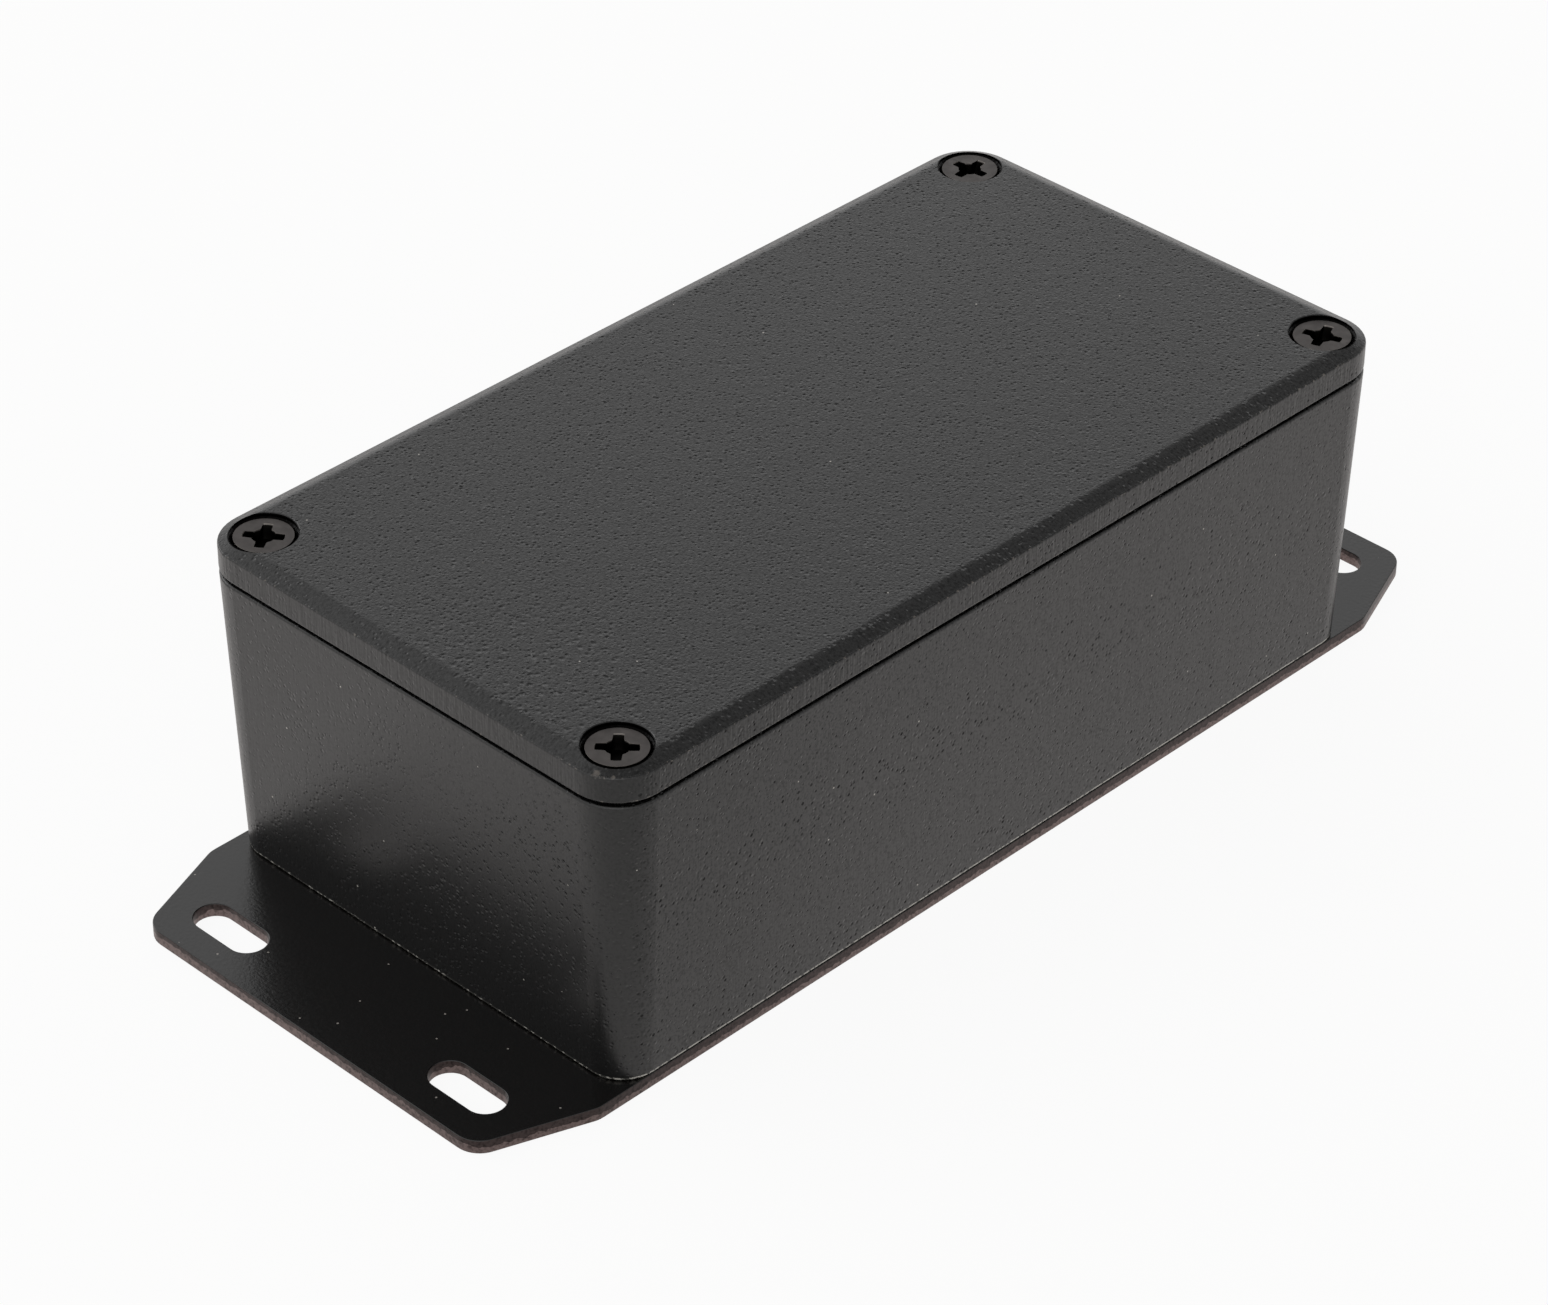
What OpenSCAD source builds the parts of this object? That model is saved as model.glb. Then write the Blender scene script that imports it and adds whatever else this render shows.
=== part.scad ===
// Die cast enclosure on a flange plate: a drafted box, a lap jointed lid held by four
// sunk screws, and a sheet plate riveted under the floor with a slotted ear at each end.
// Millimetres. Z is up, Y runs along the length, origin at the middle of the plate's underside.

/* [Box] */
// Length at the seam
body_l = 112; // [96:0.5:140]
// Width at the seam
body_w = 59.5; // [52:0.5:75]
// Height from the plate to the seam
base_h = 33.7; // [24:0.1:46]
// Thickness of the side walls
wall = 2.2; // [1.8:0.1:2.6]
// Thickness of the floor
floor_t = 2.4; // [2:0.1:4]
// Radius of the upright corners at the seam
corner_r = 5.3; // [4.8:0.1:6.4]
// Slope that lets the casting leave its die, in degrees
draft = 1.9; // [0.8:0.1:2.4]
// Radius along the outer edge of the foot
foot_r = 0.35; // [0.3:0.05:1.5]
// Radius along the outer edge of the rim, under the lid
rim_r = 0.3; // [0.2:0.05:0.7]
// Radius of the cavity's upright corners at the seam
cavity_r = 4; // [3.6:0.1:5]
// Radius where the cavity's walls meet the floor
floor_r = 1.4; // [0.6:0.1:1.6]

/* [Lid] */
// Height of the lid above the seam
lid_h = 4; // [3.4:0.1:5.5]
// Thickness of the lid over the cavity
lid_t = 2.2; // [1.8:0.1:2.8]
// Width of the bevel along the lid's top edge
bevel_w = 1.7; // [0.8:0.05:2]
// Height of the bevel along the lid's top edge
bevel_h = 0.7; // [0.6:0.05:1.4]
// Radius where the bevel runs into the lid's top
bevel_top_r = 2; // [0.4:0.1:2.2]
// Radius where the bevel meets the lid's side
bevel_side_r = 0.25; // [0.1:0.05:0.5]
// Radius along the lid's lower edge, at the seam
lid_lip_r = 0.25; // [0.1:0.05:0.4]
// Height of the open line at the seam
seam_gap = 0.4; // [0.1:0.05:0.45]
// Depth of the open line at the seam
seam_depth = 0.9; // [0.4:0.1:1.2]
// Depth of the lap tongue below the seam
tongue_h = 1.6; // [1:0.1:2.6]
// Thickness of the lap tongue
tongue_t = 1.4; // [1:0.1:2]
// Room between the tongue and the walls and bosses
tongue_gap = 0.3; // [0.2:0.05:0.5]

/* [Lid screws] */
// Distance of each screw from the two sides of its corner
screw_inset = 4.8; // [4.6:0.1:6.2]
// Diameter over the thread
thread_d = 3.5; // [3:0.1:4]
// Depth of the thread, whose ridge isn't drawn
thread_depth = 0.3; // [0.2:0.05:0.4]
// Overall length of a screw
screw_l = 12.7; // [10:0.1:16]
// Diameter of the flat head
head_d = 6.1; // [5.8:0.1:6.6]
// Straight edge of the head above its cone
head_edge = 0.3; // [0.2:0.05:0.5]
// Depth of the head below the lid's top
head_sink = 0.38; // [0.2:0.02:0.7]
// Width of the open ring round the head
head_gap = 0.46; // [0.3:0.02:0.6]
// Span of the cross recess in the head
cross_span = 4.3; // [3.6:0.1:4.6]
// Width of the cross recess's wings at their root
cross_root_w = 1.2; // [1:0.05:1.4]
// Width of the cross recess's wings at their tips
cross_tip_w = 0.9; // [0.7:0.05:1]
// Depth of the cross recess
cross_depth = 1.5; // [1:0.1:1.8]
// Radius of the round well in the middle of the cross
cross_well_r = 1.15; // [1:0.05:1.3]
// Radius of a boss at the seam
boss_r = 3.9; // [3.4:0.1:4.4]
// Depth of a boss's bore past the tip of its screw
bore_spare = 2; // [1:0.5:4]

/* [Flange plate] */
// Thickness of the plate
plate_t = 1.6; // [1.4:0.1:2.5]
// Reach of each ear past the box's foot
ear_reach = 15.3; // [13:0.1:24]
// Cut at an ear's corners, across the plate
ear_cut_x = 4.6; // [2:0.1:8]
// Cut at an ear's corners, along the plate
ear_cut_y = 12.3; // [8:0.1:12.6]
// Radius on the plate's corners
ear_r = 3; // [1:0.1:3.4]
// Width of the mounting slots
slot_w = 4.25; // [3.5:0.05:5.5]
// Length of the mounting slots, end to end
slot_l = 9.4; // [7:0.1:12]
// Spacing of the slots across the plate
slot_pitch = 34.9; // [24:0.1:38]
// Distance of the slots' middle from the plate's end
slot_inset = 5.5; // [4.5:0.1:7]

/* [Rivets] */
// Diameter of a rivet's shank
rivet_d = 3.2; // [2.4:0.1:4]
// Diameter of the domed head inside the box
dome_d = 5.8; // [5:0.1:8]
// Height of the domed head
dome_h = 1; // [0.6:0.1:1.4]
// Diameter of the flush foot under the plate
flush_d = 5.2; // [4.4:0.1:6.4]
// Spacing of the rivets across the floor
rivet_pitch_x = 34; // [20:0.5:38]
// Spacing of the rivets along the floor
rivet_pitch_y = 76; // [50:0.5:80]

/* [Hidden] */
$fn = 96;

// Cutting tools run past the faces that they open by this much
over = 1;
// A rounding circle runs past its tangent edges by this much, so that it crosses them
bite = 0.0005;
// Room round a screw's cone in its seat, its thread in the lid and its thread in a boss
seat_gap = 0.15;
pass_gap = 0.2;
bore_gap = 0.1;
// Room round a rivet in its holes, the depth of its cone in the plate and its straight edge
rivet_gap = 0.1;
flush_sink = 0.2;
flush_edge = 0.15;
// Flare of the screw and rivet cones from their axis, and of the cross recess's ends
cone_angle = 45;
cross_flare = 20;
// Half angle of the drill that made the bores, and the bevels at the mouths of bores and recesses
drill_angle = 59;
bore_bevel = 0.3;
mouth_bevel = 0.15;
// Bevel at a screw's tip
tip_bevel = 0.5;

// Heights of the box's floor, its seam with the lid and the lid's top
floor_z = plate_t + floor_t;
seam_z = plate_t + base_h;
top_z = seam_z + lid_h;

// Draft taken off each side over a height, to the nearest thousandth
function drafted(height) = round(height * tan(draft) * 1000) / 1000;
foot_w = body_w - 2 * drafted(base_h);
foot_l = body_l - 2 * drafted(base_h);
cavity_w = body_w - 2 * wall;
cavity_l = body_l - 2 * wall;

// Screw sizes and places, each with the turn at which its recess came to rest
core_r = thread_d / 2 - thread_depth;
head_top = top_z - head_sink;
tip_z = head_top - screw_l;
screw_x = body_w / 2 - screw_inset;
screw_y = body_l / 2 - screw_inset;
FRONT_RIGHT = [1, -1, 42];
FRONT_LEFT = [-1, -1, 36];
BACK_RIGHT = [1, 1, 19];
BACK_LEFT = [-1, 1, 4];
SCREWS = [FRONT_RIGHT, FRONT_LEFT, BACK_RIGHT, BACK_LEFT];

// Plate outline
plate_half_w = foot_w / 2;
plate_half_l = foot_l / 2 + ear_reach;
slot_y = plate_half_l - slot_inset;

casting_colour = "#343335";
plate_colour = "#262627";
screw_colour = "#3d3937";
rivet_colour = "#8c8d90";

function unit(v) = v / norm(v);
function turned(v, angle) = [v.x * cos(angle) - v.y * sin(angle), v.x * sin(angle) + v.y * cos(angle)];

// A convex outline, counter-clockwise, with its own radius at each corner: a corner is cut
// off between its tangent points, and a circle over those points rounds it.
module rounded_outline(points, radii) {
    n = len(points);
    back = [for (i = [0:n - 1]) unit(points[(i + n - 1) % n] - points[i])];
    ahead = [for (i = [0:n - 1]) unit(points[(i + 1) % n] - points[i])];
    half = [for (i = [0:n - 1]) acos(back[i] * ahead[i]) / 2];
    trim = [for (i = [0:n - 1]) radii[i] / tan(half[i])];
    polygon([
        for (i = [0:n - 1])
            each trim[i] == 0
                ? [points[i]]
                : [points[i] + back[i] * trim[i], points[i] + ahead[i] * trim[i]]
    ]);
    for (i = [0:n - 1])
        if (radii[i] > 0)
            translate(points[i] + unit(back[i] + ahead[i]) * radii[i] / sin(half[i]))
                circle(radii[i] + bite);
}

// Carries a wall profile round a rectangle with round corners and fills the middle. The
// profile's X runs outwards from the corners' centres and its Y is the height.
module carried_round(width, length, radius, low, high) {
    centre_x = width / 2 - radius;
    centre_y = length / 2 - radius;
    CORNERS = [[1, 1], [-1, 1], [-1, -1], [1, -1]];
    for (q = [0:3]) {
        translate([CORNERS[q].x * centre_x, CORNERS[q].y * centre_y, 0])
            rotate(90 * q)
                rotate_extrude(angle = 90)
                    children();
        across = q % 2 == 0;
        rotate(90 * q)
            translate([across ? centre_x : centre_y, 0, 0])
                rotate([90, 0, 0])
                    linear_extrude(height = 2 * (across ? centre_y : centre_x), center = true)
                        children();
    }
    translate([-centre_x, -centre_y, low])
        cube([2 * centre_x, 2 * centre_y, high - low]);
}

// Puts a copy of its children on each screw's axis
module at_screws() {
    for (s = SCREWS)
        translate([s.x * screw_x, s.y * screw_y, 0])
            children();
}

// Puts a copy of its children on each rivet's axis
module at_rivets() {
    for (x = [-1, 1], y = [-1, 1])
        translate([x * rivet_pitch_x / 2, y * rivet_pitch_y / 2, 0])
            children();
}

// Outside of the box, leaning in towards the foot
module box_outside() {
    low_x = corner_r - drafted(base_h);
    carried_round(body_w, body_l, corner_r, plate_t, seam_z)
        rounded_outline(
            [[0, plate_t], [low_x, plate_t], [corner_r, seam_z], [0, seam_z]],
            [0, foot_r, rim_r, 0]
        );
}

// Space inside the box, drafted like the outside, with the corner bosses left standing
module box_inside() {
    low_x = cavity_r - drafted(base_h - floor_t);
    high_x = cavity_r + drafted(over);
    difference() {
        carried_round(cavity_w, cavity_l, cavity_r, floor_z, seam_z + over)
            rounded_outline(
                [[0, floor_z], [low_x, floor_z], [high_x, seam_z + over], [0, seam_z + over]],
                [0, floor_r, 0, 0]
            );
        at_screws()
            translate([0, 0, floor_z - over])
                cylinder(
                    r1 = boss_r + drafted(base_h - floor_t + over),
                    r2 = boss_r - drafted(2 * over),
                    h = base_h - floor_t + 3 * over
                );
    }
}

// Bore of a boss: a bevelled mouth, a straight wall and the drill's pointed end
module boss_bore() {
    bore_r = thread_d / 2 + bore_gap;
    bore_z = tip_z - bore_spare;
    rotate_extrude()
        polygon([
            [0, bore_z - bore_r / tan(drill_angle)],
            [bore_r, bore_z],
            [bore_r, seam_z - bore_bevel],
            [bore_r + bore_bevel + over, seam_z + over],
            [0, seam_z + over]
        ]);
}

module base() {
    color(casting_colour)
        difference() {
            box_outside();
            box_inside();
            at_screws()
                boss_bore();
            at_rivets()
                translate([0, 0, plate_t - over])
                    cylinder(d = rivet_d + 2 * rivet_gap, h = floor_t + 2 * over);
        }
}

// Plan of the cavity drawn in from its walls and bosses, which the lid's tongue follows
module lap_plan(inset) {
    difference() {
        square([cavity_w - 2 * inset, cavity_l - 2 * inset], center = true);
        at_screws()
            circle(r = boss_r + inset);
    }
}

// Hole for a screw: a bevelled mouth, an open ring round the head, its cone seat and the way
// for its thread
module screw_hole() {
    ring_r = head_d / 2 + head_gap;
    pass_r = thread_d / 2 + pass_gap;
    seat_r = head_d / 2 + seat_gap / cos(cone_angle);
    ring_z = head_top - head_edge + (ring_r - seat_r) / tan(cone_angle);
    rotate_extrude()
        polygon([
            [0, seam_z - over],
            [pass_r, seam_z - over],
            [pass_r, ring_z - (ring_r - pass_r) / tan(cone_angle)],
            [ring_r, ring_z],
            [ring_r, top_z - mouth_bevel],
            [ring_r + mouth_bevel + over, top_z + over],
            [0, top_z + over]
        ]);
}

// Outside of the lid: a bevelled plate over a narrower land that rests on the box's rim,
// so that a fine open line runs round the seam
module lid_outside() {
    lip_z = seam_z + seam_gap;
    land_r = corner_r - seam_depth;
    carried_round(body_w, body_l, corner_r, lip_z, top_z)
        rounded_outline(
            [
                [0, lip_z], [corner_r, lip_z], [corner_r, top_z - bevel_h],
                [corner_r - bevel_w, top_z], [0, top_z]
            ],
            [0, lid_lip_r, bevel_side_r, bevel_top_r, 0]
        );
    carried_round(body_w - 2 * seam_depth, body_l - 2 * seam_depth, land_r, seam_z, lip_z + over)
        translate([0, seam_z])
            square([land_r, seam_gap + over]);
}

module lid() {
    pocket_h = lid_h - lid_t;
    color(casting_colour)
        difference() {
            union() {
                lid_outside();
                translate([0, 0, seam_z - tongue_h])
                    linear_extrude(height = tongue_h + pocket_h / 2)
                        lap_plan(tongue_gap);
            }
            translate([0, 0, seam_z - tongue_h - over])
                linear_extrude(height = tongue_h + pocket_h + over)
                    lap_plan(tongue_gap + tongue_t);
            at_screws()
                screw_hole();
        }
}

// Cross recess: wings that narrow outwards, cut off by a cone, and a round well at their root
module cross_recess() {
    narrow = cross_depth * tan(cross_flare);
    reach = cross_span / 2 + over;
    deep = cross_depth + over;
    intersection() {
        translate([0, 0, -cross_depth])
            linear_extrude(height = deep)
                polygon([
                    for (turn = [0:90:270])
                        each [
                            turned([reach, -cross_tip_w / 2], turn),
                            turned([reach, cross_tip_w / 2], turn),
                            turned([cross_root_w / 2, cross_root_w / 2], turn)
                        ]
                ]);
        translate([0, 0, -cross_depth])
            cylinder(r1 = cross_span / 2 - narrow, r2 = cross_span / 2 + over * tan(cross_flare), h = deep);
    }
    translate([0, 0, -cross_depth])
        cylinder(r1 = cross_well_r - narrow / 2, r2 = cross_well_r + over * tan(cross_flare), h = deep);
}

module lid_screw(place) {
    head_r = head_d / 2;
    rim_z = head_top - head_edge;
    color(screw_colour)
        translate([place.x * screw_x, place.y * screw_y, 0])
            difference() {
                rotate_extrude()
                    polygon([
                        [0, tip_z],
                        [core_r - tip_bevel, tip_z],
                        [core_r, tip_z + tip_bevel],
                        [core_r, rim_z - (head_r - core_r) / tan(cone_angle)],
                        [head_r, rim_z],
                        [head_r, head_top],
                        [0, head_top]
                    ]);
                translate([0, 0, head_top])
                    rotate(place.z)
                        cross_recess();
            }
}

// Slot with round ends, its length along X
module slot_plan(length, width) {
    flat = length - width;
    square([flat, width], center = true);
    for (side = [0, 180])
        rotate(side)
            translate([flat / 2, 0])
                intersection() {
                    circle(d = width);
                    translate([0, -width / 2])
                        square([width / 2, width]);
                }
}

module flange_plate() {
    waist = plate_half_l - ear_cut_y;
    tip = plate_half_w - ear_cut_x;
    color(plate_colour)
        difference() {
            linear_extrude(height = plate_t)
                rounded_outline(
                    [
                        [tip, -plate_half_l], [plate_half_w, -waist],
                        [plate_half_w, waist], [tip, plate_half_l],
                        [-tip, plate_half_l], [-plate_half_w, waist],
                        [-plate_half_w, -waist], [-tip, -plate_half_l]
                    ],
                    [for (i = [0:7]) ear_r]
                );
            for (x = [-1, 1], y = [-1, 1])
                translate([x * slot_pitch / 2, y * slot_y, -over])
                    linear_extrude(height = plate_t + 2 * over)
                        slot_plan(slot_l, slot_w);
            at_rivets()
                rivet_shank(rivet_gap, -over, plate_t + over);
        }
}

// Shank of a rivet and its flush foot, or their hole in the plate with room round them
module rivet_shank(gap, low, high) {
    shank_r = rivet_d / 2 + gap;
    flush_r = flush_d / 2 + gap;
    rotate_extrude()
        polygon([
            [0, low],
            [flush_r, low],
            [flush_r, flush_sink],
            [shank_r, flush_sink + (flush_r - shank_r) / tan(cone_angle)],
            [shank_r, high],
            [0, high]
        ]);
}

module flange_rivets() {
    dome_r = (pow(dome_d / 2, 2) + pow(dome_h, 2)) / (2 * dome_h);
    color(rivet_colour)
        at_rivets() {
            rivet_shank(0, flush_sink - flush_edge, floor_z);
            difference() {
                translate([0, 0, floor_z + dome_h - dome_r])
                    sphere(r = dome_r);
                translate([-dome_d, -dome_d, floor_z - 2 * dome_r])
                    cube([2 * dome_d, 2 * dome_d, 2 * dome_r]);
            }
        }
}

base();
lid();
flange_plate();
flange_rivets();
lid_screw(FRONT_RIGHT);  // lid_screw_front_right
lid_screw(FRONT_LEFT);  // lid_screw_front_left
lid_screw(BACK_RIGHT);  // lid_screw_back_right
lid_screw(BACK_LEFT);  // lid_screw_back_left
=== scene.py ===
import math

import bpy
import numpy as np
from mathutils import Matrix, Vector


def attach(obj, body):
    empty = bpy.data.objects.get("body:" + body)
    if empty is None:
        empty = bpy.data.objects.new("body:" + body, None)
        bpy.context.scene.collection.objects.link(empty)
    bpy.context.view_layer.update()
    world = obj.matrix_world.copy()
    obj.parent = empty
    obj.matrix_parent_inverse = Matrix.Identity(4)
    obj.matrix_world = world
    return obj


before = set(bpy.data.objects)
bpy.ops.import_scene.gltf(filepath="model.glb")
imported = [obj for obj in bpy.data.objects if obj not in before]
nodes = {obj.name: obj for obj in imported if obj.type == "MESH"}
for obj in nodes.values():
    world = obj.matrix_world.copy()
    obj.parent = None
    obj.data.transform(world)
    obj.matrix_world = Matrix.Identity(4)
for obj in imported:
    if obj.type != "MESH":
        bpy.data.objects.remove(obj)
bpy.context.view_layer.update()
scene = bpy.context.scene
scene.view_settings.view_transform = "Standard"
mm = 0.001
white = (1.0, 1.0, 1.0, 1.0)
# a span is a Map Range node's From limits, a range its To limits; nearly all of a noise lies in noiseSpan
noiseSpan = {"From Min": 0.3, "From Max": 0.7}
falling = {"To Min": 1.0, "To Max": 0.0}
print("frame loaded:", len(nodes), "CAD nodes")


def toLinear(hexColour):
    # sRGB hex to linear RGBA
    srgb = np.array([int(hexColour[i:i + 2], 16) for i in (1, 3, 5)]) / 255
    linear = np.where(srgb <= 0.04045, srgb / 12.92, ((srgb + 0.055) / 1.055) ** 2.4)
    return (*linear.tolist(), 1.0)


def addNode(tree, kind, links=None, values=None, **settings):
    # one node with its settings, its plain values and what feeds it: a node gives its first output in use
    made = tree.nodes.new("ShaderNode" + kind)
    for name, value in settings.items():
        setattr(made, name, value)
    live = [i for i in made.inputs if i.enabled]
    sockets = {i.name: i for i in reversed(live)} | dict(enumerate(live))
    for name, value in (values or {}).items():
        sockets[name].default_value = value
    for name, source in (links or {}).items():
        if isinstance(source, bpy.types.Node):
            source = next(o for o in source.outputs if o.enabled)
        tree.links.new(source, sockets[name])
    return made


# camera, worked out from the photo's own edges: place and sensor in mm, angles in degrees, lens in pixels,
# clip in metres
camera = {
    "place": (293.615, -306.376, 309.921),
    "azimuth": 44.774,
    "elevation": 35.234,
    "focal": 4966.04,
    "image": (1548, 1305),
    "axisAt": (736.416, 663.756),
    "sensor": 36.0,
    "clip": (0.01, 20.0),
}


def makeCamera(s):
    data = bpy.data.cameras.new("camera")
    width, height = s["image"]
    data.sensor_width = s["sensor"]
    data.lens = s["focal"] * s["sensor"] / width
    data.shift_x = (width / 2 - s["axisAt"][0]) / width
    data.shift_y = (s["axisAt"][1] - height / 2) / width
    data.clip_start, data.clip_end = s["clip"]
    a, e = math.radians(s["azimuth"]), math.radians(s["elevation"])
    back = Vector((math.sin(a) * math.cos(e), -math.cos(a) * math.cos(e), math.sin(e)))
    right = Vector((math.cos(a), math.sin(a), 0))
    turn = Matrix((right, back.cross(right), back)).transposed().to_4x4()
    made = bpy.data.objects.new("camera", data)
    made.matrix_world = Matrix.Translation(Vector(s["place"]) * mm) @ turn
    scene.collection.objects.link(made)
    scene.camera = made


makeCamera(camera)
print("camera set")

# soft boxes: place, aim and size in mm, power in watts
softBoxes = {
    "left": {"place": (-1300, -350, 500), "aim": (0, 0, 20), "size": (900, 700), "power": 2.0},
    "front": {"place": (900, -1100, 900), "aim": (0, 0, 20), "size": (900, 900), "power": 2.0},
}
# studio: even light from all round, dimmer in a wide patch above and behind and along the horizon; white
# paper under the box, which falls into shade towards the camera and dims far behind, distances in mm
studio = {
    "level": 0.98,
    "dimSide": (0.25, 0.35, 0.90), "dimFrom": 0.5, "dimTo": 0.88, "dimBy": 0.58,
    "farBy": 0.4, "horizonTo": 0.1, "farFrom": 120, "farTo": 350,
    "floorSize": 6000, "floorDrop": 0.1,
    "paper": "#f4f3f1", "glow": "#fffbf9", "lift": 0.92,
    "shadeSide": (0.8, -0.58, 0.0), "shadeFrom": 33, "shadeTo": 98, "shadeBy": 1.0,
}


def makeLights(boxes):
    for name, s in boxes.items():
        data = bpy.data.lights.new(name, "AREA")
        data.shape = "RECTANGLE"
        data.size, data.size_y = s["size"][0] * mm, s["size"][1] * mm
        data.energy = s["power"]
        made = bpy.data.objects.new(name, data)
        place = Vector(s["place"]) * mm
        aim = (Vector(s["aim"]) * mm - place).to_track_quat("-Z", "Y")
        made.matrix_world = Matrix.Translation(place) @ aim.to_matrix().to_4x4()
        scene.collection.objects.link(made)


def makeStudio(s):
    world = bpy.data.worlds.new("studio")
    scene.world = world
    world.use_nodes = True
    tree = world.node_tree
    tree.nodes.clear()
    path = addNode(tree, "LightPath")
    way = addNode(tree, "TexCoord")
    towards = addNode(tree, "VectorMath", {0: way.outputs["Generated"]},
                      {1: Vector(s["dimSide"]).normalized()}, operation="DOT_PRODUCT")
    dim = addNode(tree, "MapRange", {"Value": towards.outputs["Value"]},
                  {"From Min": s["dimFrom"], "From Max": s["dimTo"],
                   "To Min": s["level"], "To Max": s["level"] * (1 - s["dimBy"])},
                  interpolation_type="SMOOTHSTEP")
    high = addNode(tree, "SeparateXYZ", {0: way.outputs["Generated"]})
    clear = addNode(tree, "MapRange", {"Value": high.outputs["Z"]},
                    {"From Max": s["horizonTo"], "To Min": 1 - s["farBy"]})
    strength = addNode(tree, "Math", {0: dim, 1: clear}, operation="MULTIPLY")
    light = addNode(tree, "Background", {"Strength": strength}, {"Color": white})
    backdrop = addNode(tree, "Background", values={"Color": white, "Strength": 1.0})
    both = addNode(tree, "MixShader", {0: path.outputs["Is Camera Ray"], 1: light, 2: backdrop})
    addNode(tree, "OutputWorld", {"Surface": both})

    half, low = s["floorSize"] / 2 * mm, -s["floorDrop"] * mm
    corners = [(-half, -half, low), (half, -half, low), (half, half, low), (-half, half, low)]
    data = bpy.data.meshes.new("floor")
    data.from_pydata(corners, [], [(0, 1, 2, 3)])
    floor = bpy.data.objects.new("floor", data)
    scene.collection.objects.link(floor)
    # matt white paper, lifted to white where it is seen or mirrored, so that only a soft shadow stays
    paper = bpy.data.materials.new("mattWhitePaper")
    paper.use_nodes = True
    tree = paper.node_tree
    tree.nodes.clear()
    path = addNode(tree, "LightPath")
    where = addNode(tree, "TexCoord")
    nearer = addNode(tree, "VectorMath", {0: where.outputs["Object"]}, {1: s["shadeSide"]},
                     operation="DOT_PRODUCT")
    shade = addNode(tree, "MapRange", {"Value": nearer.outputs["Value"]},
                    {"From Min": s["shadeFrom"] * mm, "From Max": s["shadeTo"] * mm,
                     "To Min": 1.0, "To Max": 1 - s["shadeBy"]})
    close = addNode(tree, "MapRange", {"Value": nearer.outputs["Value"]},
                    {"From Min": -s["farTo"] * mm, "From Max": -s["farFrom"] * mm,
                     "To Min": 1 - s["farBy"]})
    lit = addNode(tree, "Math", {0: shade, 1: close}, operation="MULTIPLY")
    mirrored = addNode(tree, "Math", {0: path.outputs["Is Glossy Ray"],
                                      1: path.outputs["Is Transmission Ray"]}, operation="MAXIMUM")
    shaded = addNode(tree, "Math", {0: mirrored, 1: lit}, operation="MULTIPLY")
    seen = addNode(tree, "Math", {0: path.outputs["Is Camera Ray"], 1: shaded}, operation="MAXIMUM")
    share = addNode(tree, "Math", {0: seen}, {1: s["lift"]}, operation="MULTIPLY")
    warmth = addNode(tree, "Mix", {"Factor": mirrored}, {"A": white, "B": toLinear(s["glow"])},
                     data_type="RGBA")
    matt = addNode(tree, "BsdfDiffuse", values={"Color": toLinear(s["paper"])})
    glow = addNode(tree, "Emission", {"Color": warmth}, {"Strength": 1.0})
    both = addNode(tree, "MixShader", {0: share, 1: matt, 2: glow})
    addNode(tree, "OutputMaterial", {"Surface": both})
    data.materials.append(paper)


makeLights(softBoxes)
makeStudio(studio)
print("studio lit")


def startMaterial(name):
    made = bpy.data.materials.new(name)
    made.use_nodes = True
    tree = made.node_tree
    tree.nodes.clear()
    # Object coordinates in mm, so that a pattern's scale is 1 / its real size
    where = addNode(tree, "TexCoord")
    at = addNode(tree, "VectorMath", {0: where.outputs["Object"]}, {"Scale": 1 / mm}, operation="SCALE")
    place = addNode(tree, "SeparateXYZ", {0: at})
    # how far the surface faces along each axis, whichever way round
    either = addNode(tree, "VectorMath", {0: where.outputs["Normal"]}, operation="ABSOLUTE")
    facing = addNode(tree, "SeparateXYZ", {0: either})
    return made, tree, at, place, facing


# textured black powder coat, sprayed and baked on die cast aluminium: a deep black that the eye reads only
# by its sheen, pebbled on top, finer on the drawn sides, with nibs, open pits in painted shade and a little
# dust, in mm; the real grit and pores are finer, and are drawn as coarse as they need to show
powderCoat = {
    "black": "#050505", "faded": "#0d0c0c", "dust": "#a39f98",
    "roughRange": {"To Min": 0.23, "To Max": 0.32}, "ior": 1.55,
    "pebble": 0.36, "pebbleDepth": 0.012,
    "grit": 0.22, "gritDepth": 0.035,
    "clump": 1.3, "clumpRange": {"To Min": 0.4, "To Max": 1.6},
    "drag": (0.3, 0.3, 4.0),
    "spot": (0.13, 0.32), "spotGap": 0.6, "spotDepth": 0.16, "spotRange": {"To Min": 0.4, "To Max": 1.6},
    "pits": 0.85, "open": 0.8, "openSpan": {"From Min": 0.15, "From Max": 0.4},
    "crater": 0.42, "craterGap": 1.0, "craterDepth": 0.075,
    "pore": 0.3, "poreSpan": {"From Min": 0.45, "From Max": 0.75}, "poreDepth": 0.48, "endPores": 0.35,
    "patch": 14.0, "patchSpan": {"From Min": 0.35, "From Max": 0.65},
    "fleck": 0.4, "fleckStep": 0.05, "scuffEdge": (0.8, 1.1),
    "speck": 0.1, "speckGap": 4.0,
    "sideSkin": 0.08, "sideSpots": 0.24, "sideDull": 0.07,
}
# how far a casting's face turns up, from 0 on a side to 1 on top, as it loses its dullness and its drag
# lines and gains its coarse skin, and how far it turns to be a long side or an end
faceSpans = {
    "dull": {"From Min": 0.3, "From Max": 0.7},
    "drawn": {"From Min": 0.9, "From Max": 0.96},
    "top": {"From Min": 0.94, "From Max": 0.99},
    "longSide": {"From Min": 0.8, "From Max": 0.98},
    "end": {"From Min": 0.1, "From Max": 0.6},
}
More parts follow.
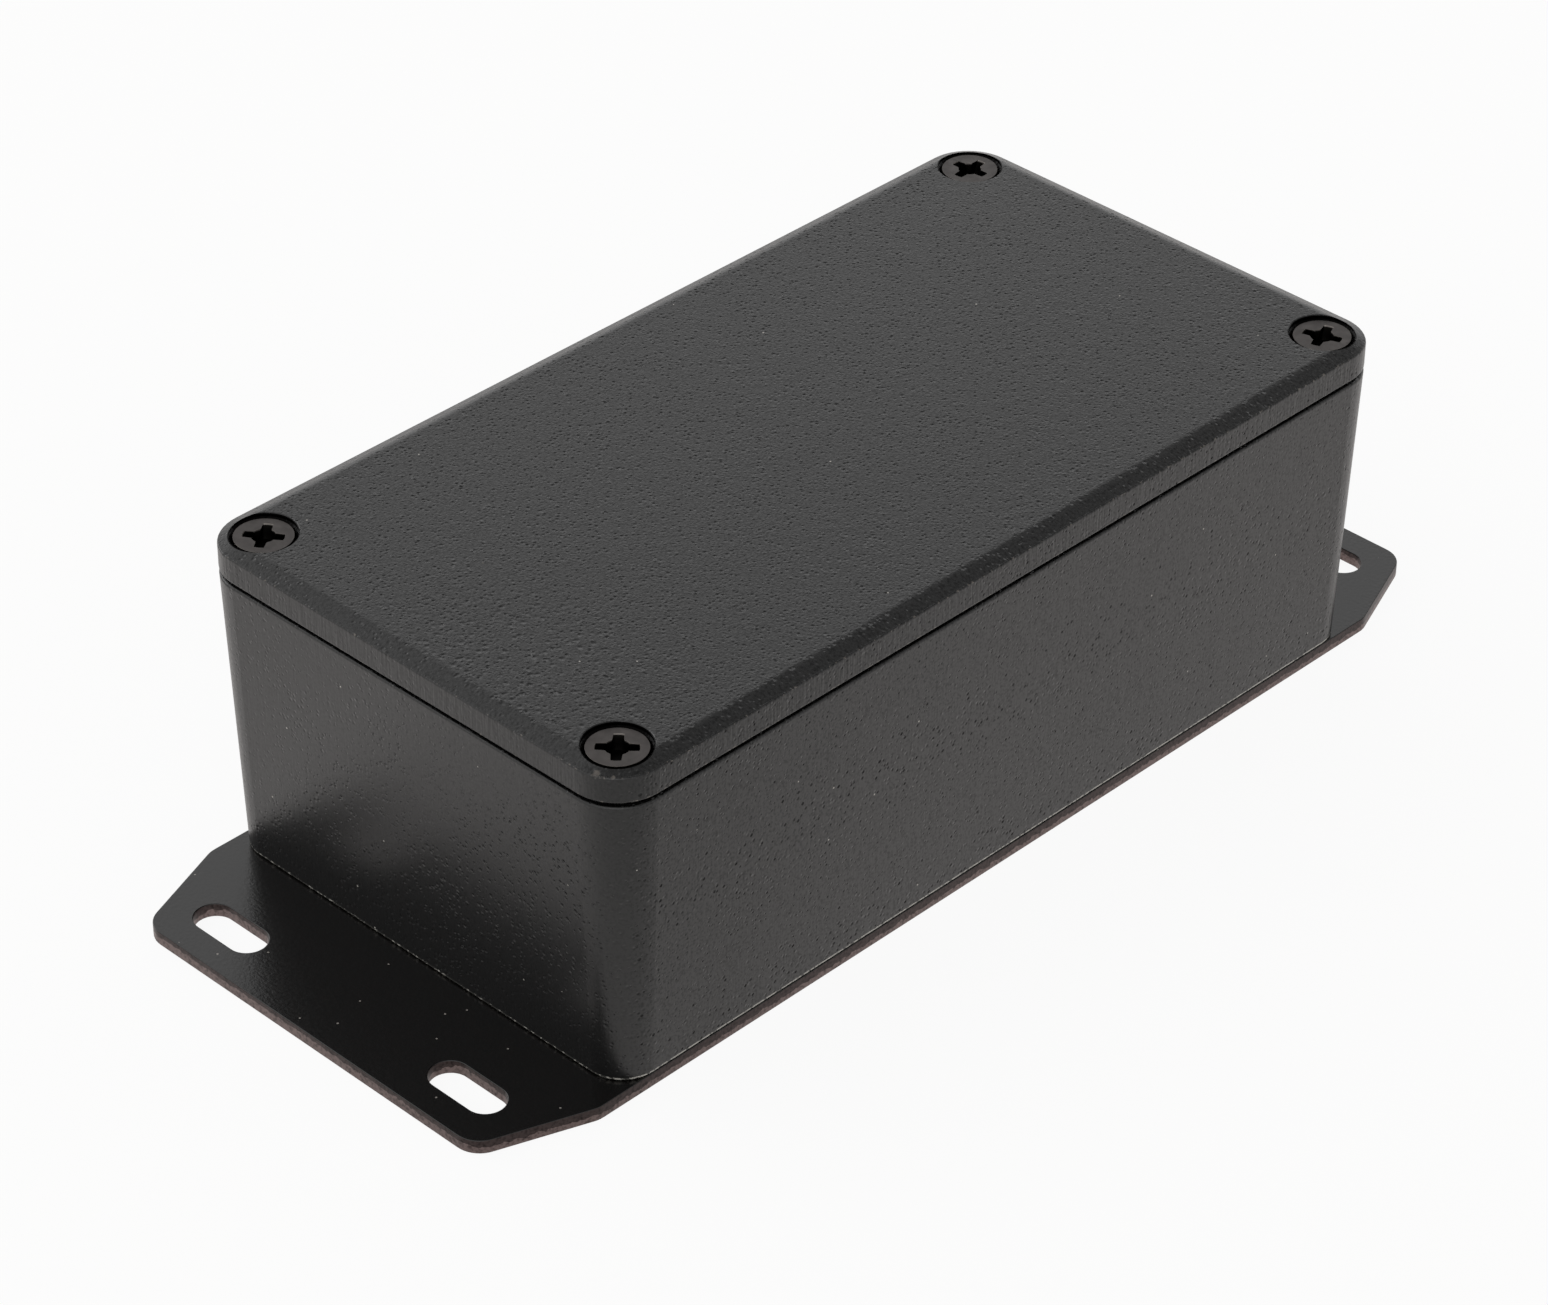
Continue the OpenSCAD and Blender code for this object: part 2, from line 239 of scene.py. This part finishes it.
# bare aluminium inside, as it left the die: dull silver with cold flow marks and a fine grain
bareCasting = {
    "light": "#b9babd", "dark": "#85868b", "roughness": 0.42,
    "flow": 9.0, "grain": 0.4, "grainDepth": 0.02,
}
# what each casting has of its own, in mm
castings = {
    "base": {
        # bare inside: half sizes and corner radius of the cavity, and the heights between which it is bare
        "half": (27.7, 53.95), "corner": 4.1, "bareFrom": 3.95, "bareTo": 36.0,
        # pale flecks between two heights, chips in places and painted highlights in places, with how rare
        # the flecks are, how much the long sides add to them and how much painted light lies between them;
        # a scuff is a place and a reach
        # on the box the flecks along the foot edge are chips and partly a painted highlight, and the
        # painted light between them lightens the dark crease above the plate
        "chipAndGlint": "#a8a59e", "fleckBands": [(1.6, 2.0, 0.56)], "along": 0.16, "between": 0.1, "scuffsAndGlints": [],
        # depth of the drag lines; middle of the rough patch, and the distances between which it fades
        "dragDepth": 0.012,
        "rough": (0.0, 0.0, 0.0), "roughSpan": {"From Min": 0.0, "From Max": 1.0},
        # painted shade in the screw seats: black within a reach and below a height; the box has no patch
        # and no shaded seats
        "seat": (24.95, 51.2, 0.0), "seatReach": 0.0, "seatTop": 0.0,
    },
    "lid": {
        "half": (27.7, 53.95), "corner": 4.1, "bareFrom": 30.0, "bareTo": 37.7,
        # on the lid both bands of flecks, along the seam lip and the bevel crease, are painted highlights;
        # of the round marks the third is a painted glint at the seam corner, the first two are chips by the
        # near screw and the last a speck of dust
        "chipAndGlint": "#544f4a", "fleckBands": [(35.8, 35.98, 0.6), (38.5, 38.66, 0.64)], "along": 0.05, "between": 0.0,
        "scuffsAndGlints": [(26.4, -55.3, 38.8, 0.8), (27.9, -54.6, 38.8, 0.5),
                   (27.1, -55.3, 35.85, 0.3), (-5.7, -39.7, 39.3, 0.2)],
        "dragDepth": 0.05,
        "rough": (11.0, -52.0, 39.3), "roughSpan": {"From Min": 7.0, "From Max": 20.0},
        "seat": (24.95, 51.2, 0.0), "seatReach": 3.6, "seatTop": 39.22,
    },
}


def makeCasting(name, s, spans, bare, part):
    made, tree, at, place, facing = startMaterial(name)
    upright = facing.outputs["Z"]
    # heights in mm: pebbles that stand at cell centres, in clumps, and a finer grit between them
    depth = addNode(tree, "MapRange", {"Value": upright}, spans["top"] | {"To Min": s["sideSkin"]})
    clump = addNode(tree, "TexNoise", {"Vector": at}, {"Scale": 1 / s["clump"], "Detail": 2.0})
    clumped = addNode(tree, "MapRange", {"Value": clump}, noiseSpan | s["clumpRange"])
    pebble = addNode(tree, "TexVoronoi", {"Vector": at}, {"Scale": 1 / s["pebble"]}, feature="F1")
    stones = addNode(tree, "Math", {0: pebble}, {1: -s["pebbleDepth"]}, operation="MULTIPLY")
    grit = addNode(tree, "TexNoise", {"Vector": at}, {"Scale": 1 / s["grit"], "Detail": 1.0})
    skin = addNode(tree, "Math", {0: grit, 2: stones}, {1: s["gritDepth"]}, operation="MULTIPLY_ADD")
    clumpedSkin = addNode(tree, "Math", {0: skin, 1: clumped}, operation="MULTIPLY")
    sized = addNode(tree, "Math", {0: clumpedSkin, 1: depth}, operation="MULTIPLY")
    # nibs and pits: round spots in the middle of cells, each with its own radius, some up and more of them
    # down, deeper in some patches than in others
    patch = addNode(tree, "TexNoise", {"Vector": at}, {"Scale": 1 / s["patch"], "Detail": 2.0})
    stronger = addNode(tree, "MapRange", {"Value": patch}, s["patchSpan"] | s["spotRange"])
    cell = addNode(tree, "TexVoronoi", {"Vector": at}, {"Scale": 1 / s["spotGap"]}, feature="F1")
    lot = addNode(tree, "SeparateColor", {0: cell.outputs["Color"]})
    small, large = (v / s["spotGap"] for v in s["spot"])
    radius = addNode(tree, "MapRange", {"Value": lot.outputs["Red"]}, {"To Min": small, "To Max": large})
    share = addNode(tree, "Math", {0: cell.outputs["Distance"], 1: radius}, operation="DIVIDE")
    dome = addNode(tree, "MapRange", {"Value": share}, falling, interpolation_type="SMOOTHSTEP")
    down = addNode(tree, "Math", {0: lot.outputs["Green"]}, {1: s["pits"]}, operation="LESS_THAN")
    way = addNode(tree, "MapRange", {"Value": down}, {"To Min": s["spotDepth"], "To Max": -s["spotDepth"]})
    shallow = addNode(tree, "MapRange", {"Value": upright}, spans["top"] | {"To Min": s["sideSpots"]})
    swell = addNode(tree, "Math", {0: way, 1: stronger}, operation="MULTIPLY")
    rise = addNode(tree, "Math", {0: swell, 1: shallow}, operation="MULTIPLY")
    spotted = addNode(tree, "Math", {0: dome, 1: rise, 2: sized}, operation="MULTIPLY_ADD")
    # craters, wider and shallower, in one rough patch
    crater = addNode(tree, "TexVoronoi", {"Vector": at}, {"Scale": 1 / s["craterGap"]}, feature="F1")
    bowl = addNode(tree, "MapRange", {"Value": crater},
                   {"From Max": s["crater"] / s["craterGap"], "To Min": -s["craterDepth"], "To Max": 0.0},
                   interpolation_type="SMOOTHSTEP")
    beside = addNode(tree, "VectorMath", {0: at}, {1: part["rough"]}, operation="DISTANCE")
    rough = addNode(tree, "MapRange", {"Value": beside.outputs["Value"]}, part["roughSpan"] | falling)
    sunken = addNode(tree, "Math", {0: rough, 1: shallow}, operation="MULTIPLY")
    cratered = addNode(tree, "Math", {0: bowl, 1: sunken, 2: spotted}, operation="MULTIPLY_ADD")
    # painted shade: on the long sides some pits are open and black, each to its own degree
    opened = addNode(tree, "Math", {0: lot.outputs["Green"]}, {1: s["pits"] * s["open"]},
                     operation="LESS_THAN")
    pit = addNode(tree, "Math", {0: dome, 1: opened}, operation="MULTIPLY")
    hole = addNode(tree, "MapRange", {"Value": pit}, s["openSpan"])
    longSide = addNode(tree, "MapRange", {"Value": facing.outputs["X"]}, spans["longSide"])
    blackness = addNode(tree, "Math", {0: lot.outputs["Blue"], 1: longSide}, operation="MULTIPLY")
    holed = addNode(tree, "Math", {0: hole, 1: blackness}, operation="MULTIPLY")
    # pores, too fine to stand as pits, which only break the sheen, fewer of them on the ends
    pore = addNode(tree, "TexNoise", {"Vector": at}, {"Scale": 1 / s["pore"], "Detail": 1.0})
    porous = addNode(tree, "MapRange", {"Value": pore}, s["poreSpan"] | {"To Max": s["poreDepth"]})
    fewer = addNode(tree, "MapRange", {"Value": facing.outputs["Y"]},
                    spans["end"] | {"To Min": 1.0, "To Max": s["endPores"]})
    pored = addNode(tree, "Math", {0: porous, 1: fewer}, operation="MULTIPLY")
    deep = addNode(tree, "Math", {0: holed, 1: pored}, operation="MAXIMUM")
    # drag lines of the die, up the sides and fading over the bevel
    drawn = addNode(tree, "Mapping", {"Vector": at}, {"Scale": tuple(1 / v for v in s["drag"])})
    drag = addNode(tree, "TexNoise", {"Vector": drawn}, {"Scale": 1.0, "Detail": 1.0})
    dragged = addNode(tree, "MapRange", {"Value": upright},
                      spans["drawn"] | {"To Min": part["dragDepth"], "To Max": 0.0})
    height = addNode(tree, "Math", {0: drag, 1: dragged, 2: cratered}, operation="MULTIPLY_ADD")
    # inside: within a rectangle with round corners, whatever the height, and between two heights
    anyHeight = 1000.0
    plan = addNode(tree, "VectorMath", {0: at}, operation="ABSOLUTE")
    middle = (*(h - part["corner"] for h in part["half"]), anyHeight)
    past = addNode(tree, "VectorMath", {0: plan}, {1: middle}, operation="SUBTRACT")
    outer = addNode(tree, "VectorMath", {0: past}, {1: (0, 0, 0)}, operation="MAXIMUM")
    beyond = addNode(tree, "VectorMath", {0: outer}, operation="LENGTH")
    across = addNode(tree, "Math", {0: beyond.outputs["Value"]}, {1: part["corner"]}, operation="LESS_THAN")
    above = addNode(tree, "Math", {0: place.outputs["Z"]}, {1: part["bareFrom"]}, operation="GREATER_THAN")
    below = addNode(tree, "Math", {0: place.outputs["Z"]}, {1: part["bareTo"]}, operation="LESS_THAN")
    tall = addNode(tree, "Math", {0: above, 1: below}, operation="MULTIPLY")
    inside = addNode(tree, "Math", {0: across, 1: tall}, operation="MULTIPLY")
    # pale marks: flecks within a band of height, some worn and some a painted highlight, and round patches
    # made ragged by the same noise, one a painted glint
    fleck = addNode(tree, "TexNoise", {"Vector": at}, {"Scale": 1 / s["fleck"], "Detail": 2.0})
    fleckPattern = addNode(tree, "Math", {0: facing.outputs["X"], 2: fleck}, {1: part["along"]},
                   operation="MULTIPLY_ADD")
    wearAndHighlights = []
    for low, high, least in part["fleckBands"]:
        off = addNode(tree, "Math", {0: place.outputs["Z"]}, {1: (low + high) / 2}, operation="SUBTRACT")
        away = addNode(tree, "Math", {0: off}, operation="ABSOLUTE")
        band = addNode(tree, "Math", {0: away}, {1: (high - low) / 2}, operation="LESS_THAN")
        flecked = addNode(tree, "MapRange", {"Value": fleckPattern},
                          {"From Min": least, "From Max": least + s["fleckStep"],
                           "To Min": part["between"]})
        wearAndHighlights.append(addNode(tree, "Math", {0: band, 1: flecked}, operation="MULTIPLY"))
    inner, rim = s["scuffEdge"]
    for *spot, reach in part["scuffsAndGlints"]:
        away = addNode(tree, "VectorMath", {0: at}, {1: spot}, operation="DISTANCE")
        ragged = addNode(tree, "Math", {0: fleck, 2: away.outputs["Value"]}, {1: reach},
                         operation="MULTIPLY_ADD")
        wearAndHighlights.append(addNode(tree, "MapRange", {"Value": ragged},
                            {"From Min": reach * inner, "From Max": reach * rim} | falling))
    chipAndGlint = wearAndHighlights[0]
    for mark in wearAndHighlights[1:]:
        chipAndGlint = addNode(tree, "Math", {0: chipAndGlint, 1: mark}, operation="MAXIMUM")
    # colour: black, faded in patches, with chips and painted highlights, rare pale specks of dust, and
    # silver inside
    tone = addNode(tree, "Mix", {"Factor": patch},
                   {"A": toLinear(s["black"]), "B": toLinear(s["faded"])}, data_type="RGBA")
    chippedAndGlinting = addNode(tree, "Mix", {"Factor": chipAndGlint, "A": tone}, {"B": toLinear(part["chipAndGlint"])},
                      data_type="RGBA")
    speck = addNode(tree, "TexVoronoi", {"Vector": at}, {"Scale": 1 / s["speckGap"]}, feature="F1")
    dust = addNode(tree, "Math", {0: speck}, {1: s["speck"] / s["speckGap"]}, operation="LESS_THAN")
    dusty = addNode(tree, "Mix", {"Factor": dust, "A": chippedAndGlinting}, {"B": toLinear(s["dust"])},
                    data_type="RGBA")
    flow = addNode(tree, "TexNoise", {"Vector": at},
                   {"Scale": 1 / bare["flow"], "Detail": 6.0, "Distortion": 1.5})
    silver = addNode(tree, "Mix", {"Factor": flow},
                     {"A": toLinear(bare["dark"]), "B": toLinear(bare["light"])}, data_type="RGBA")
    colour = addNode(tree, "Mix", {"Factor": inside, "A": dusty, "B": silver}, data_type="RGBA")
    # gloss: broken by the grit, duller on the sides and dull inside
    gloss = addNode(tree, "MapRange", {"Value": grit}, noiseSpan | s["roughRange"])
    duller = addNode(tree, "MapRange", {"Value": upright},
                     spans["dull"] | {"To Min": s["sideDull"], "To Max": 0.0})
    matt = addNode(tree, "Math", {0: gloss, 1: duller}, operation="ADD")
    dull = addNode(tree, "Mix", {"Factor": inside, "A": matt}, {"B": bare["roughness"]}, data_type="FLOAT")
    # painted shade: open pits and the seats of the screws show no sheen at all, drawn as black metal, and a
    # pore shows less
    flat = addNode(tree, "VectorMath", {0: plan}, {1: (1, 1, 0)}, operation="MULTIPLY")
    apart = addNode(tree, "VectorMath", {0: flat}, {1: part["seat"]}, operation="DISTANCE")
    shadeRing = addNode(tree, "Math", {0: apart.outputs["Value"]}, {1: part["seatReach"]}, operation="LESS_THAN")
    shadedHeight = addNode(tree, "Math", {0: place.outputs["Z"]}, {1: part["seatTop"]}, operation="LESS_THAN")
    seat = addNode(tree, "Math", {0: shadeRing, 1: shadedHeight}, operation="MULTIPLY")
    shadeAndPores = addNode(tree, "Math", {0: seat, 1: deep}, operation="MAXIMUM")
    metal = addNode(tree, "Math", {0: inside, 1: shadeAndPores}, operation="MAXIMUM")
    grain = addNode(tree, "TexNoise", {"Vector": at}, {"Scale": 1 / bare["grain"], "Detail": 2.0})
    cast = addNode(tree, "Math", {0: grain}, {1: bare["grainDepth"]}, operation="MULTIPLY")
    relief = addNode(tree, "Mix", {"Factor": inside, "A": height, "B": cast}, data_type="FLOAT")
    bump = addNode(tree, "Bump", {"Height": relief}, {"Strength": 1.0, "Distance": mm})
    coat = addNode(tree, "BsdfPrincipled",
                   {"Base Color": colour, "Roughness": dull, "Metallic": metal, "Normal": bump},
                   {"IOR": s["ior"]})
    addNode(tree, "OutputMaterial", {"Surface": coat})
    return made


# smooth black coat on sheared sheet steel: flatter and glossier than the casting's, with bare brownish
# edges in two bands, burnished dark by the blade above and torn paler below, mottled all along, in mm
satinPlate = {
    "black": "#020202", "faded": "#0b0807", "burnish": "#423a39", "torn": "#706361", "dust": "#8f8a84",
    "roughRange": {"To Min": 0.19, "To Max": 0.26}, "edgeRoughness": 0.42, "ior": 1.61,
    "edgeSpan": {"From Min": 0.4, "From Max": 0.6},
    "peel": 0.4, "peelDepth": 0.018,
    "tornAt": 1.05, "longEdgeShade": 0.35, "waver": 0.9, "waverHeight": 0.2,
    "nick": 0.35, "nickSpan": {"From Min": 0.45, "From Max": 0.75}, "nickShare": 0.7,
    "speck": 0.12, "speckGap": 2.4,
    "roll": 0.12, "rollSteps": 3,
}


def makePlate(name, s):
    made, tree, at, place, facing = startMaterial(name)
    sheared = addNode(tree, "MapRange", {"Value": facing.outputs["Z"]}, s["edgeSpan"] | falling)
    peel = addNode(tree, "TexNoise", {"Vector": at}, {"Scale": 1 / s["peel"], "Detail": 2.0})
    # the torn band ends at a line that wavers, lower on the long edges, where the darker band above it is
    # painted shade under the box's side
    waver = addNode(tree, "TexNoise", {"Vector": at}, {"Scale": 1 / s["waver"], "Detail": 3.0})
    line = addNode(tree, "MapRange", {"Value": waver},
                   noiseSpan | {"To Min": s["tornAt"] - s["waverHeight"],
                                "To Max": s["tornAt"] + s["waverHeight"]})
    lower = addNode(tree, "Math", {0: facing.outputs["X"], 2: line}, {1: -s["longEdgeShade"]},
                    operation="MULTIPLY_ADD")
    torn = addNode(tree, "Math", {0: place.outputs["Z"], 1: lower}, operation="LESS_THAN")
    steel = addNode(tree, "Mix", {"Factor": torn},
                    {"A": toLinear(s["burnish"]), "B": toLinear(s["torn"])}, data_type="RGBA")
    nick = addNode(tree, "TexNoise", {"Vector": at}, {"Scale": 1 / s["nick"], "Detail": 3.0})
    mottle = addNode(tree, "MapRange", {"Value": nick}, s["nickSpan"] | {"To Max": s["nickShare"]})
    edge = addNode(tree, "Mix", {"Factor": mottle, "A": steel}, {"B": toLinear(s["black"])},
                   data_type="RGBA")
    # colour: black, faded a little, with specks of dust, and steel at the edges
    tone = addNode(tree, "Mix", {"Factor": waver},
                   {"A": toLinear(s["black"]), "B": toLinear(s["faded"])}, data_type="RGBA")
    speck = addNode(tree, "TexVoronoi", {"Vector": at}, {"Scale": 1 / s["speckGap"]}, feature="F1")
    dust = addNode(tree, "Math", {0: speck}, {1: s["speck"] / s["speckGap"]}, operation="LESS_THAN")
    dusty = addNode(tree, "Mix", {"Factor": dust, "A": tone}, {"B": toLinear(s["dust"])}, data_type="RGBA")
    colour = addNode(tree, "Mix", {"Factor": sheared, "A": dusty, "B": edge}, data_type="RGBA")
    gloss = addNode(tree, "MapRange", {"Value": peel}, noiseSpan | s["roughRange"])
    dull = addNode(tree, "Mix", {"Factor": sheared, "A": gloss}, {"B": s["edgeRoughness"]},
                   data_type="FLOAT")
    bump = addNode(tree, "Bump", {"Height": peel}, {"Strength": 1.0, "Distance": s["peelDepth"] * mm})
    coat = addNode(tree, "BsdfPrincipled",
                   {"Base Color": colour, "Roughness": dull, "Metallic": sheared, "Normal": bump},
                   {"IOR": s["ior"]})
    addNode(tree, "OutputMaterial", {"Surface": coat})
    return made


# steel screws blackened in hot oil: a dim warm metal sheen, with a painted highlight on the slanted edges
# and painted shade in the recess and under the head, in mm
blackSteel = {
    "dark": "#444140", "rubbed": "#575351", "edge": "#8a857f", "recessShade": "#0e0d0c",
    "recessShadeFrom": 37.3, "recessShadeTo": 38.78,
    "roughRange": {"To Min": 0.45, "To Max": 0.33},
    "slant": 0.7, "slantSpan": {"From Min": 0.12, "From Max": 0.26},
    "smear": 1.1, "scale": 0.12, "scaleDepth": 0.006,
    "roll": 0.1, "rollSteps": 2,
}
# bare aluminium rivets, pressed over by a die: pale silver with faint smears, painted highlights on slanted
# edges and no painted shade, in mm
pressedRivet = {
    "dark": "#8f9094", "rubbed": "#b0b1b4", "edge": "#c2c3c6", "recessShade": "#77787c",
    "recessShadeFrom": 0.0, "recessShadeTo": 0.0,
    "roughRange": {"To Min": 0.4, "To Max": 0.28},
    "slant": 0.7, "slantSpan": {"From Min": 0.12, "From Max": 0.26},
    "smear": 1.5, "scale": 0.3, "scaleDepth": 0.006,
}


def makeFastening(name, s):
    made, tree, at, place, facing = startMaterial(name)
    smear = addNode(tree, "TexNoise", {"Vector": at}, {"Scale": 1 / s["smear"], "Detail": 3.0})
    scale = addNode(tree, "TexNoise", {"Vector": at}, {"Scale": 1 / s["scale"], "Detail": 2.0})
    tone = addNode(tree, "Mix", {"Factor": smear},
                   {"A": toLinear(s["dark"]), "B": toLinear(s["rubbed"])}, data_type="RGBA")
    # painted highlight: edges face neither up nor sideways, and stand above the painted shade
    slope = addNode(tree, "Math", {0: facing.outputs["Z"]}, {1: s["slant"]}, operation="SUBTRACT")
    away = addNode(tree, "Math", {0: slope}, operation="ABSOLUTE")
    slantHighlight = addNode(tree, "MapRange", {"Value": away}, s["slantSpan"] | falling)
    top = addNode(tree, "Math", {0: place.outputs["Z"]}, {1: s["recessShadeTo"]}, operation="GREATER_THAN")
    edge = addNode(tree, "Math", {0: slantHighlight, 1: top}, operation="MULTIPLY")
    wearAndHighlights = addNode(tree, "Mix", {"Factor": edge, "A": tone}, {"B": toLinear(s["edge"])}, data_type="RGBA")
    # painted shade in the recess and under the head, between two heights
    middle, half = (s["recessShadeFrom"] + s["recessShadeTo"]) / 2, (s["recessShadeTo"] - s["recessShadeFrom"]) / 2
    off = addNode(tree, "Math", {0: place.outputs["Z"]}, {1: middle}, operation="SUBTRACT")
    height = addNode(tree, "Math", {0: off}, operation="ABSOLUTE")
    shadedHeight = addNode(tree, "Math", {0: height}, {1: half}, operation="LESS_THAN")
    colour = addNode(tree, "Mix", {"Factor": shadedHeight, "A": wearAndHighlights}, {"B": toLinear(s["recessShade"])}, data_type="RGBA")
    gloss = addNode(tree, "MapRange", {"Value": smear}, noiseSpan | s["roughRange"])
    bump = addNode(tree, "Bump", {"Height": scale}, {"Strength": 1.0, "Distance": s["scaleDepth"] * mm})
    metal = addNode(tree, "BsdfPrincipled", {"Base Color": colour, "Roughness": gloss, "Normal": bump},
                    {"Metallic": 1.0})
    addNode(tree, "OutputMaterial", {"Surface": metal})
    return made


baseCoat = makeCasting("powderCoatedBoxCasting", powderCoat, faceSpans, bareCasting, castings["base"])
lidCoat = makeCasting("powderCoatedLidCasting", powderCoat, faceSpans, bareCasting, castings["lid"])
plateCoat = makePlate("satinBlackSheetSteel", satinPlate)
screwSteel = makeFastening("blackenedSteel", blackSteel)
rivetMetal = makeFastening("pressedAluminium", pressedRivet)

coats = {"base": baseCoat, "lid": lidCoat, "flange_plate": plateCoat, "flange_rivets": rivetMetal}
for name, node in nodes.items():
    node.data.materials.clear()
    node.data.materials.append(coats.get(name, screwSteel))
print("materials set")

# limits for rolled edges: points nearer than the join, in mm, become one, and in degrees, faces that turn
# less than flat are merged and edges that turn more than sharp are rolled
rolling = {"join": 0.001, "flat": 0.5, "sharp": 40}


def rollEdges(node, s, limits):
    # the CAD's loose triangles are joined and flat ones merged, a small round runs along the sharp edges,
    # and the points that it leaves on top of each other are joined
    join = node.modifiers.new("join", "WELD")
    join.merge_threshold = limits["join"] * mm
    flat = node.modifiers.new("flat", "DECIMATE")
    flat.decimate_type, flat.angle_limit = "DISSOLVE", math.radians(limits["flat"])
    roll = node.modifiers.new("roll", "BEVEL")
    roll.width, roll.segments = s["roll"] * mm, s["rollSteps"]
    roll.limit_method, roll.angle_limit = "ANGLE", math.radians(limits["sharp"])
    roll.face_strength_mode = "FSTR_ALL"
    close = node.modifiers.new("close", "WELD")
    close.merge_threshold = limits["join"] * mm
    even = node.modifiers.new("even", "WEIGHTED_NORMAL")
    even.use_face_influence = True


for name, node in nodes.items():
    if name == "flange_plate":
        rollEdges(node, satinPlate, rolling)
    if name.startswith("lid_screw"):
        rollEdges(node, blackSteel, rolling)
print("edges rolled")

# rolled threads on the four screws, in mm: the ridge's root sinks into the shank of the CAD screw
thread = {
    "at": {"front_right": (24.95, -51.2), "front_left": (-24.95, -51.2),
           "back_right": (24.95, 51.2), "back_left": (-24.95, 51.2)},
    "root": 1.4, "crest": 1.75, "rootWidth": 0.62, "crestWidth": 0.1,
    "pitch": 0.8, "from": 26.7, "to": 35.6, "runOut": 0.8, "steps": 40,
}


def makeThread(name, axis, s):
    # a four cornered ridge carried up a right handed helix: the angle grows with height, one turn to a
    # pitch, and the crest eases down to the root over the run-out, in turns, at both ends
    turns = (s["to"] - s["from"]) / s["pitch"]
    t = np.linspace(0, turns, int(turns * s["steps"]))[:, None]
    ends = np.clip(np.minimum(t, turns - t) / s["runOut"], 0, 1)
    grow = ends * ends * (3 - 2 * ends)
    crest = s["root"] + (s["crest"] - s["root"]) * grow
    root = np.full_like(crest, s["root"])
    radius = np.hstack([root, crest, crest, root])
    width = np.array([-s["rootWidth"], -s["crestWidth"], s["crestWidth"], s["rootWidth"]]) / 2
    rise = s["from"] + s["pitch"] * t + width
    angle = 2 * np.pi * t
    points = np.stack([axis[0] + radius * np.cos(angle), axis[1] + radius * np.sin(angle), rise], -1)
    # each step's corners meet the next step's, corner by corner, and both ends are closed
    index = np.arange(radius.size).reshape(radius.shape)
    low, high = index[:-1], index[1:]
    faces = np.stack([low, high, np.roll(high, -1, 1), np.roll(low, -1, 1)], -1).reshape(-1, 4)
    caps = [index[0].tolist(), index[-1, ::-1].tolist()]
    data = bpy.data.meshes.new(name)
    data.from_pydata((points.reshape(-1, 3) * mm).tolist(), [], faces.tolist() + caps)
    data.materials.append(screwSteel)
    made = bpy.data.objects.new(name, data)
    scene.collection.objects.link(made)
    return made


for corner, axis in thread["at"].items():
    ridge = makeThread("thread_" + corner, axis, thread)
    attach(ridge, "screw_" + corner)
print("threads cut")
